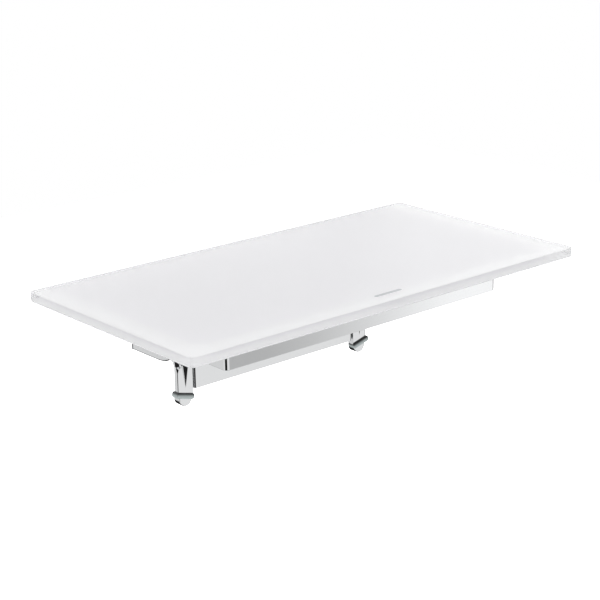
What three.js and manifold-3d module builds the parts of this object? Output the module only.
// Shower shelf: a white-backed glass pane that lifts off a chrome holder. Two sheet-metal
// hooks carry the holder on the wall unions of a shower mixer.
//
// Millimetres, +Z up, +X to the right. The wall is the plane Y = 0 and the shelf reaches
// towards -Y. The origin lies on the wall, midway between the hooks, level with the lower
// edge of the lips under their arms.

import * as THREE from 'three'
import { mergeVertices } from 'three/addons/utils/BufferGeometryUtils.js'
import Module from 'manifold-3d'

const wasm = await Module()
wasm.setup()

// ---------------------------------------------------------------- driving dimensions

const CLEARANCE = 0.3 // between pieces that are assembled face to face
const ARC_STEPS = 6 // straight steps in a quarter turn of a bent sheet
const ROUND_STEPS = 16 // straight steps round a screw, stud or washer

const PANE = { width: 315, depth: 165, thickness: 6, corner: 4.5, coat: 0.5, top: 57, wallGap: 3 }

// The holder is a flat strip bent into a closed band, with a flanged plate welded inside.
const BAND = { halfWidth: 112.6, front: -140.2, back: -50.2, bottom: 30.7, top: 50, sheet: 2, bend: 3 }
const PLATE = { top: 47.8, sheet: 2, flange: 8, corner: 2 }
const DRAIN = { length: 70, width: 9, rows: [-112, -97, -82], halfSpan: 42 }

// The apron is a sheet bent into a U: a front and two returns that run back between the hooks.
const APRON = { halfWidth: 68.1, front: -49.9, back: -6, bottom: -16.8, top: 47, sheet: 2, bend: 2.5 }
const RETURN = { top: 34, foot: 9, skirtBack: -36, round: 4 }

// Each hook is one casting: arm, leg, stiffening lip, upright fixing tab and a round lobe as its tip.
const HOOK = { centre: 75, width: 12, sheet: 4.2, back: -1.5, tip: -27, cornerRadius: 3 }
const BEND = { y: -39.5, z: -1.7, inner: 5.5 }
const LIP = { sheet: 3, bottom: 0, curveStart: -40, curveEnd: -26.5 }
const TAB = { sheet: 2.8, front: -37, back: -8, top: 33, corner: 4 }
const LOBE = { width: 9.9, back: -42.8, neck: 6.4, neckTop: -15.4 }
const BEAD = { depth: 3, tip: -15.3, spread: 0.14, rearTip: -22 }

const PAD = { length: 14.2, height: 3.9, front: -50.6, back: -44.2, centreZ: -19.8, outward: 0.8, tilt: 15, seat: 0.3 }
const BUFFER = { thickness: 1.2 }

const STUD = { x: 84, rows: [-124, -70], disc: 8, discHeight: 1.5, pin: 2.5, pinEnd: 41.5, hole: 3.4 }
const WASHER = { outer: 7, inner: 3 }

const SCREW = { shank: 2, hole: 2.3, head: 3.9, headHeight: 2.6, socket: 1.5, socketDepth: 1.6 }
const NUT = { acrossFlats: 7, height: 3.2 }
const APRON_FASTENERS = { xs: [-54, -18, 18, 54], z: 39.5, length: 10 }
const HOOK_FASTENERS = { ys: [-30, -14], z: 21, length: 11 }

// ---------------------------------------------------------------- materials

const finish = (color, roughness, metalness, extra = {}) =>
  new THREE.MeshStandardMaterial({ color, roughness, metalness, ...extra })

const FINISHES = {
  glass: finish(0xe9efee, 0.04, 0, { transparent: true, opacity: 0.55 }),
  lacquer: finish(0xf4f4f6, 0.35, 0),
  chrome: finish(0xd6dadb, 0.08, 1),
  steel: finish(0xb9bcbd, 0.32, 1),
  zinc: finish(0xa9adae, 0.4, 1),
  rubber: finish(0x858d8b, 0.75, 0),
  silicone: finish(0xd9dddd, 0.5, 0)
}

// ---------------------------------------------------------------- solids

/** A closed geometry as a solid that can be joined and cut. */
function solid(geometry) {
  const bare = geometry.clone()
  bare.deleteAttribute('normal')
  bare.deleteAttribute('uv')
  const merged = mergeVertices(bare, 1e-4)
  return new wasm.Manifold(
    new wasm.Mesh({
      numProp: 3,
      vertProperties: new Float32Array(merged.attributes.position.array),
      triVerts: new Uint32Array(merged.index.array)
    })
  )
}

/** The surface of a solid as a geometry. */
function surface(body) {
  const mesh = body.getMesh()
  const geometry = new THREE.BufferGeometry()
  geometry.setAttribute('position', new THREE.BufferAttribute(new Float32Array(mesh.vertProperties), 3))
  geometry.setIndex(new THREE.BufferAttribute(new Uint32Array(mesh.triVerts), 1))
  return geometry
}

/** Cuts every tool out of a body. */
const cut = (body, tools) => tools.reduce((rest, tool) => rest.subtract(tool), body)

/** A box given by its low and high corner along each axis. */
function block([x0, x1], [y0, y1], [z0, z1]) {
  const box = new THREE.BoxGeometry(x1 - x0, y1 - y0, z1 - z0)
  return solid(box.translate((x0 + x1) / 2, (y0 + y1) / 2, (z0 + z1) / 2))
}

// Where a flat outline (u, v) and its depth w lie in space, for a prism along each axis.
const X_AXIS = new THREE.Vector3(1, 0, 0)
const Y_AXIS = new THREE.Vector3(0, 1, 0)
const Z_AXIS = new THREE.Vector3(0, 0, 1)
const PLACEMENTS = {
  x: new THREE.Matrix4().makeBasis(Y_AXIS, Z_AXIS, X_AXIS),
  y: new THREE.Matrix4().makeBasis(X_AXIS, Z_AXIS, Y_AXIS.clone().negate()),
  z: new THREE.Matrix4()
}

/** An outline swept straight along an axis. Outlines are (Y, Z), (X, Z) or (X, Y). */
function prism(outline, axis, from, to) {
  const options = { depth: to - from, bevelEnabled: false, curveSegments: ARC_STEPS }
  const swept = new THREE.ExtrudeGeometry(outline, options).applyMatrix4(PLACEMENTS[axis])
  const offset = { x: [from, 0, 0], y: [0, to, 0], z: [0, 0, from] }[axis]
  return solid(swept.translate(...offset))
}

/** A rectangle with four round corners. */
function roundedRectangle(u0, u1, v0, v1, radius) {
  const shape = new THREE.Shape()
  shape.absarc(u1 - radius, v0 + radius, radius, -Math.PI / 2, 0, false)
  shape.absarc(u1 - radius, v1 - radius, radius, 0, Math.PI / 2, false)
  shape.absarc(u0 + radius, v1 - radius, radius, Math.PI / 2, Math.PI, false)
  shape.absarc(u0 + radius, v0 + radius, radius, Math.PI, 1.5 * Math.PI, false)
  shape.closePath()
  return shape
}

// How a solid of revolution about +Z is turned to point along another axis.
const TURNS = {
  x: new THREE.Matrix4().makeRotationY(Math.PI / 2),
  '-x': new THREE.Matrix4().makeRotationY(-Math.PI / 2),
  y: new THREE.Matrix4().makeRotationX(-Math.PI / 2),
  z: new THREE.Matrix4()
}

/** A profile of (radius, height) points turned about an axis that starts at a point. */
function turned(profile, axis, [x, y, z], steps = ROUND_STEPS) {
  const points = profile.map(([radius, height]) => new THREE.Vector2(radius, height))
  const lathe = new THREE.LatheGeometry(points, steps).rotateX(Math.PI / 2)
  lathe.applyMatrix4(TURNS[axis])
  return solid(lathe.translate(x, y, z))
}

/** A plain round rod along an axis, from its start point. */
const rod = (radius, length, axis, start, steps) =>
  turned([[0, 0], [radius, 0], [radius, length], [0, length]], axis, start, steps)

// ---------------------------------------------------------------- pane and what is bonded to it

const paneY = [-PANE.wallGap - PANE.depth, -PANE.wallGap]
const paneBottom = PANE.top - PANE.thickness

function paneSlab(bottom, top) {
  const half = PANE.width / 2
  return prism(roundedRectangle(-half, half, ...paneY, PANE.corner), 'z', bottom, top)
}

const glassPane = () => paneSlab(paneBottom + PANE.coat, PANE.top)
const whiteBacking = () => paneSlab(paneBottom, paneBottom + PANE.coat)

/** A steel disc bonded under the pane, with a pin that drops into the plate. */
function locatingStud(x, y) {
  const shoulder = STUD.discHeight
  const length = paneBottom - STUD.pinEnd
  const profile = [
    [0, 0],
    [STUD.pin - 0.5, 0],
    [STUD.pin, 0.5],
    [STUD.pin, length - shoulder],
    [STUD.disc, length - shoulder],
    [STUD.disc, length],
    [0, length]
  ]
  return turned(profile, 'z', [x, y, STUD.pinEnd])
}

/** A soft ring round the pin, between the disc and the plate. */
function cushionWasher(x, y) {
  const bottom = PLATE.top
  const height = paneBottom - STUD.discHeight - bottom
  const { inner, outer } = WASHER
  const ring = [[inner, 0], [outer, 0], [outer, height], [inner, height], [inner, 0]]
  return turned(ring, 'z', [x, y, bottom])
}

// ---------------------------------------------------------------- holder

const fastenerHoles = () => APRON_FASTENERS.xs.map((x) =>
  rod(SCREW.hole, 12, 'y', [x, BAND.back - 6, APRON_FASTENERS.z]))

function holderBand() {
  const { halfWidth, front, back, sheet, bend } = BAND
  const ring = roundedRectangle(-halfWidth, halfWidth, front, back, bend)
  const inside = [sheet - halfWidth, halfWidth - sheet, front + sheet, back - sheet]
  ring.holes.push(roundedRectangle(...inside, bend - sheet))
  return cut(prism(ring, 'z', BAND.bottom, BAND.top), fastenerHoles())
}

function drainSlots() {
  const slot = (x, y) => {
    const half = DRAIN.length / 2
    const radius = DRAIN.width / 2
    const outline = roundedRectangle(x - half, x + half, y - radius, y + radius, radius)
    return prism(outline, 'z', PLATE.top - 2 * PLATE.sheet, PLATE.top + 1)
  }
  return DRAIN.rows.flatMap((y) => [-DRAIN.halfSpan, DRAIN.halfSpan].map((x) => slot(x, y)))
}

function holderPlate() {
  const gap = BAND.sheet + CLEARANCE
  const outer = [gap - BAND.halfWidth, BAND.halfWidth - gap, BAND.front + gap, BAND.back - gap]
  const [x0, x1, y0, y1] = outer
  const wall = PLATE.sheet
  const bottom = PLATE.top - PLATE.flange
  const tray = prism(roundedRectangle(...outer, PLATE.corner), 'z', bottom, PLATE.top)
  const hollow = block([x0 + wall, x1 - wall], [y0 + wall, y1 - wall], [bottom - 1, PLATE.top - wall])
  const studHoles = studPlaces().map(({ x, y }) => rod(STUD.hole, 6, 'z', [x, y, PLATE.top - 4]))
  const headRoom = APRON_FASTENERS.xs.map((x) =>
    rod(SCREW.head + 1, 8, 'y', [x, y1 - wall - 4, APRON_FASTENERS.z]))
  return cut(tray, [hollow, ...studHoles, ...drainSlots(), ...headRoom])
}

/** The apron's plan: a U with round bends, open towards the wall. */
function apronPlan() {
  const { halfWidth, front, back, sheet, bend } = APRON
  const inner = bend - sheet
  const shape = new THREE.Shape()
  shape.moveTo(-halfWidth, back)
  shape.lineTo(-halfWidth, front + bend)
  shape.absarc(-halfWidth + bend, front + bend, bend, Math.PI, 1.5 * Math.PI, false)
  shape.absarc(halfWidth - bend, front + bend, bend, -Math.PI / 2, 0, false)
  shape.lineTo(halfWidth, back)
  shape.lineTo(halfWidth - sheet, back)
  shape.absarc(halfWidth - bend, front + bend, inner, 0, -Math.PI / 2, true)
  shape.absarc(-halfWidth + bend, front + bend, inner, 1.5 * Math.PI, Math.PI, true)
  shape.lineTo(sheet - halfWidth, back)
  shape.closePath()
  return shape
}

/** What is left of the bent sheet, seen from the side: a skirt behind the front and two ears. */
function apronSide() {
  const { front, back, bottom, top } = APRON
  const { foot, skirtBack, round } = RETURN
  const neck = front + 9
  const quarter = Math.PI / 2
  const shape = new THREE.Shape()
  shape.moveTo(front - 1, bottom)
  shape.lineTo(skirtBack - round, bottom)
  shape.absarc(skirtBack - round, bottom + round, round, -quarter, 0, false)
  shape.absarc(skirtBack + round, foot - round, round, Math.PI, quarter, true)
  shape.absarc(back - round, foot + round, round, -quarter, 0, false)
  shape.absarc(back - round, RETURN.top - round, round, 0, quarter, false)
  shape.absarc(neck + round, RETURN.top + round, round, -quarter, -Math.PI, true)
  shape.lineTo(neck, top)
  shape.lineTo(front - 1, top)
  shape.closePath()
  return shape
}

function apron() {
  const { halfWidth, bottom, top } = APRON
  const bent = prism(apronPlan(), 'z', bottom, top)
  const trimmed = bent.intersect(prism(apronSide(), 'x', -halfWidth - 1, halfWidth + 1))
  const sideHoles = HOOK_FASTENERS.ys.map((y) =>
    rod(SCREW.hole, 2 * halfWidth + 2, 'x', [-halfWidth - 1, y, HOOK_FASTENERS.z]))
  return cut(trimmed, [...fastenerHoles(), ...sideHoles])
}

// ---------------------------------------------------------------- hooks

/** The side outline of a layer of the bent strip, between two radii from the bend's centre. */
function stripLayer(inner, outer, back, tip) {
  const shape = new THREE.Shape()
  shape.moveTo(back, BEND.z + inner)
  shape.lineTo(back, BEND.z + outer)
  shape.absarc(BEND.y, BEND.z, outer, Math.PI / 2, Math.PI, false)
  shape.lineTo(BEND.y - outer, tip)
  shape.lineTo(BEND.y - inner, tip)
  shape.absarc(BEND.y, BEND.z, inner, Math.PI, Math.PI / 2, true)
  shape.closePath()
  return shape
}

const armTop = BEND.z + BEND.inner + HOOK.sheet
const armBottom = BEND.z + BEND.inner
const hookSpan = (side, grow = 0) => {
  const ends = [HOOK.centre - HOOK.width / 2 - grow, HOOK.centre + HOOK.width / 2 + grow]
  return side > 0 ? ends : ends.map((x) => -x).reverse()
}

/** The hook from the front: as wide as its arm, with a round outer top edge. */
function hookFront(side, grow = 0) {
  const half = HOOK.width / 2 + grow
  const radius = HOOK.cornerRadius
  const at = (offset) => side * (HOOK.centre + offset)
  const shape = new THREE.Shape()
  shape.moveTo(at(-half), armTop)
  shape.lineTo(at(-half), HOOK.tip)
  shape.lineTo(at(half), HOOK.tip)
  for (let step = 0; step <= ARC_STEPS; step += 1) {
    const angle = (Math.PI / 2) * (step / ARC_STEPS)
    shape.lineTo(at(half - radius + radius * Math.cos(angle)), armTop - radius + radius * Math.sin(angle))
  }
  shape.closePath()
  return shape
}

/** A broad slab tilted like the sleeve, between two heights above the sleeve's own middle. */
function sleeveSlab(side, low, high) {
  const box = new THREE.BoxGeometry(40, 40, high - low).translate(0, 0, (low + high) / 2)
  return solid(atSleeve(box, side))
}

/** Turns a geometry by the sleeve's tilt and carries it to the sleeve's middle. */
function atSleeve(geometry, side) {
  geometry.rotateY(side * THREE.MathUtils.degToRad(-PAD.tilt))
  return geometry.translate(side * (HOOK.centre + PAD.outward), BEND.y - BEND.inner, PAD.centreZ)
}

const legFace = BEND.y - BEND.inner - HOOK.sheet
const legBack = BEND.y - BEND.inner
const neckHalf = PAD.height / 2 - PAD.seat // the shoulders dip this far short of the sleeve's faces

/** The end of the leg: a narrow neck inside the sleeve and the thicker round lobe below it. */
function legEnd(side, grow = 0) {
  const centre = side * HOOK.centre
  const radius = LOBE.width / 2 + grow
  const lobeCentre = HOOK.tip + LOBE.width / 2
  const outline = new THREE.Shape()
  outline.moveTo(centre + radius, LOBE.neckTop)
  outline.lineTo(centre - radius, LOBE.neckTop)
  outline.lineTo(centre - radius, lobeCentre)
  outline.absarc(centre, lobeCentre, radius, Math.PI, 2 * Math.PI, false)
  outline.closePath()
  const lobe = prism(outline, 'y', legFace - grow, LOBE.back + grow)
  const neckSide = LOBE.neck / 2 + grow
  const neckX = [centre - neckSide, centre + neckSide]
  const neck = block(neckX, [legFace - grow, legBack + grow], [lobeCentre, LOBE.neckTop])
  return lobe.subtract(sleeveSlab(side, grow - neckHalf, 30)).add(neck)
}

/** The stiffening lip that hangs from the outer edge of the arm, with a round front end. */
function lipSide() {
  const shape = new THREE.Shape()
  shape.moveTo(HOOK.back, armTop)
  shape.lineTo(LIP.curveStart, armTop)
  const reach = LIP.curveEnd - LIP.curveStart
  shape.absellipse(LIP.curveEnd, armBottom, reach, armBottom - LIP.bottom, Math.PI, 1.5 * Math.PI, false)
  shape.lineTo(HOOK.back, LIP.bottom)
  shape.closePath()
  return shape
}

/** The pressed bead: a groove of even depth that tapers to a point down the leg and along the arm. */
function stiffeningBead(side) {
  const outer = BEND.inner + HOOK.sheet
  const layer = prism(stripLayer(outer - BEAD.depth, outer + 2, 0, HOOK.tip), 'x', ...hookSpan(side))
  const centre = side * HOOK.centre
  const highest = armTop + 3
  const reach = (highest - BEAD.tip) * BEAD.spread
  const frontTaper = new THREE.Shape([
    new THREE.Vector2(centre, BEAD.tip),
    new THREE.Vector2(centre + reach, highest),
    new THREE.Vector2(centre - reach, highest)
  ])
  const foremost = BEND.y - outer - 3
  const plan = (BEAD.rearTip - foremost) * BEAD.spread
  const rearTaper = new THREE.Shape([
    new THREE.Vector2(centre, BEAD.rearTip),
    new THREE.Vector2(centre - plan, foremost),
    new THREE.Vector2(centre + plan, foremost)
  ])
  return layer
    .intersect(prism(frontTaper, 'y', foremost, 0))
    .intersect(prism(rearTaper, 'z', BEAD.tip - 1, highest))
}

/** Where the tab lies along X: against the outer face of the apron's return. */
const tabSpan = (side) => {
  const ends = [APRON.halfWidth + CLEARANCE, APRON.halfWidth + CLEARANCE + TAB.sheet]
  return side > 0 ? ends : ends.map((x) => -x).reverse()
}

/** The upright tab on the inner edge of the arm, which is screwed to the apron's return. */
function fixingTab(side) {
  const span = tabSpan(side)
  const upright = prism(roundedRectangle(TAB.front, TAB.back, armBottom, TAB.top, TAB.corner), 'x', ...span)
  const [inner, outer] = [APRON.halfWidth + CLEARANCE, HOOK.centre]
  const foot = side > 0 ? [inner, outer] : [-outer, -inner]
  const web = block(foot, [TAB.front, TAB.back], [armBottom, armTop])
  const holes = HOOK_FASTENERS.ys.map((y) =>
    rod(SCREW.hole, TAB.sheet + 2, 'x', [span[0] - 1, y, HOOK_FASTENERS.z]))
  return cut(upright, holes).add(web)
}

function hook(side) {
  const [x0, x1] = hookSpan(side)
  const outer = BEND.inner + HOOK.sheet
  const strip = prism(stripLayer(BEND.inner, outer, HOOK.back, HOOK.tip), 'x', x0, x1)
  const lipSpan = side > 0 ? [x1 - LIP.sheet, x1] : [x0, x0 + LIP.sheet]
  const folded = strip.add(prism(lipSide(), 'x', ...lipSpan))
  const trimmed = folded.intersect(prism(hookFront(side), 'y', BEND.y - outer - 1, 0))
  const upper = trimmed.subtract(sleeveSlab(side, -30, neckHalf))
  return upper.add(legEnd(side)).add(fixingTab(side)).subtract(stiffeningBead(side))
}

/** The rubber sleeve on the leg: a bar with round ends, tilted so that its inner end is lower. */
function hookPad(side) {
  const half = PAD.length / 2
  const bar = roundedRectangle(-half, half, -PAD.height / 2, PAD.height / 2, PAD.height / 2 - 0.01)
  const options = { depth: PAD.back - PAD.front, bevelEnabled: false, curveSegments: ARC_STEPS }
  const geometry = new THREE.ExtrudeGeometry(bar, options).applyMatrix4(PLACEMENTS.y)
  geometry.translate(0, PAD.back - legBack, 0)
  const slack = CLEARANCE / 2
  const shoulders = prism(hookFront(side, slack), 'y', legFace - slack, legBack + slack)
    .subtract(sleeveSlab(side, -30, neckHalf - slack))
  return cut(solid(atSleeve(geometry, side)), [shoulders, legEnd(side, slack)])
}

/** The thin rubber cap between the end of the arm and the wall. */
function wallBuffer(side) {
  const [x0, x1] = hookSpan(side)
  const outline = roundedRectangle(x0, x1, LIP.bottom, armTop, HOOK.cornerRadius)
  return prism(outline, 'y', -BUFFER.thickness, 0)
}

// ---------------------------------------------------------------- fasteners

/** A button-head screw with a hexagon socket, its head against a face and its shank along an axis. */
function screw(axis, start, length) {
  const { shank, head, headHeight, socket, socketDepth } = SCREW
  const profile = [
    [0, -headHeight],
    [head * 0.55, -headHeight],
    [head * 0.88, -headHeight * 0.6],
    [head, -headHeight * 0.15],
    [head, 0],
    [shank, 0],
    [shank, length - 0.5],
    [shank - 0.5, length],
    [0, length]
  ]
  const floor = socketDepth - headHeight
  const recess = [[0, -headHeight - 1], [socket, -headHeight - 1], [socket, floor], [0, floor]]
  return turned(profile, axis, start).subtract(turned(recess, axis, start, 6))
}

/** A hexagon nut with a clear bore, its near face at a point. */
function nut(axis, start) {
  const { acrossFlats, height } = NUT
  const corner = acrossFlats / Math.sqrt(3)
  const bore = SCREW.shank + 0.2
  const hexagon = turned([[0, 0], [corner, 0], [corner, height], [0, height]], axis, start, 6)
  return hexagon.subtract(turned([[0, -1], [bore, -1], [bore, height + 1], [0, height + 1]], axis, start))
}

/** The screws through the band and the apron, and their nuts, numbered from the left. */
const apronFasteners = () => APRON_FASTENERS.xs.map((x, index) => ({
  number: index + 1,
  screw: screw('y', [x, BAND.back - BAND.sheet, APRON_FASTENERS.z], APRON_FASTENERS.length),
  nut: nut('y', [x, APRON.front + APRON.sheet, APRON_FASTENERS.z])
}))

/** The screws through a return and its hook's tab, and their nuts, numbered from the front. */
const hookFasteners = (side) => HOOK_FASTENERS.ys.map((y, index) => {
  const axis = side > 0 ? 'x' : '-x'
  const face = side * (APRON.halfWidth - APRON.sheet)
  const tabFace = side * (APRON.halfWidth + CLEARANCE + TAB.sheet)
  return {
    number: index + 1,
    screw: screw(axis, [face, y, HOOK_FASTENERS.z], HOOK_FASTENERS.length),
    nut: nut(axis, [tabFace, y, HOOK_FASTENERS.z])
  }
})

// ---------------------------------------------------------------- assembly

/** The four stud places, with the name of the corner that each is nearest to. */
function studPlaces() {
  const rowNames = ['front', 'rear']
  return STUD.rows.flatMap((y, row) => [-1, 1].map((side) => ({
    x: side * STUD.x,
    y,
    corner: `${rowNames[row]}_${side < 0 ? 'left' : 'right'}`
  })))
}

/** A named mesh of a solid in one of the finishes. */
function piece(name, body, finishName) {
  const mesh = new THREE.Mesh(surface(body), FINISHES[finishName].clone())
  mesh.name = name
  return mesh
}

const pane = new THREE.Group()
pane.add(piece('glass_pane', glassPane(), 'glass'))
pane.add(piece('white_backing', whiteBacking(), 'lacquer'))
for (const { x, y, corner } of studPlaces()) {
  pane.add(piece(`locating_stud_${corner}`, locatingStud(x, y), 'steel'))
  pane.add(piece(`cushion_washer_${corner}`, cushionWasher(x, y), 'silicone'))
}

const holder = new THREE.Group()
holder.add(piece('holder_band', holderBand(), 'chrome'))
holder.add(piece('holder_plate', holderPlate(), 'steel'))
holder.add(piece('apron', apron(), 'chrome'))
for (const fastener of apronFasteners()) {
  holder.add(piece(`apron_screw_${fastener.number}`, fastener.screw, 'zinc'))
  holder.add(piece(`apron_nut_${fastener.number}`, fastener.nut, 'zinc'))
}

for (const [side, name] of [[-1, 'left'], [1, 'right']]) {
  holder.add(piece(`hook_${name}`, hook(side), 'chrome'))
  holder.add(piece(`hook_pad_${name}`, hookPad(side), 'rubber'))
  holder.add(piece(`wall_buffer_${name}`, wallBuffer(side), 'rubber'))
  for (const fastener of hookFasteners(side)) {
    holder.add(piece(`hook_screw_${name}_${fastener.number}`, fastener.screw, 'zinc'))
    holder.add(piece(`hook_nut_${name}_${fastener.number}`, fastener.nut, 'zinc'))
  }
}

const group = new THREE.Group()
group.add(pane, holder)
export default group
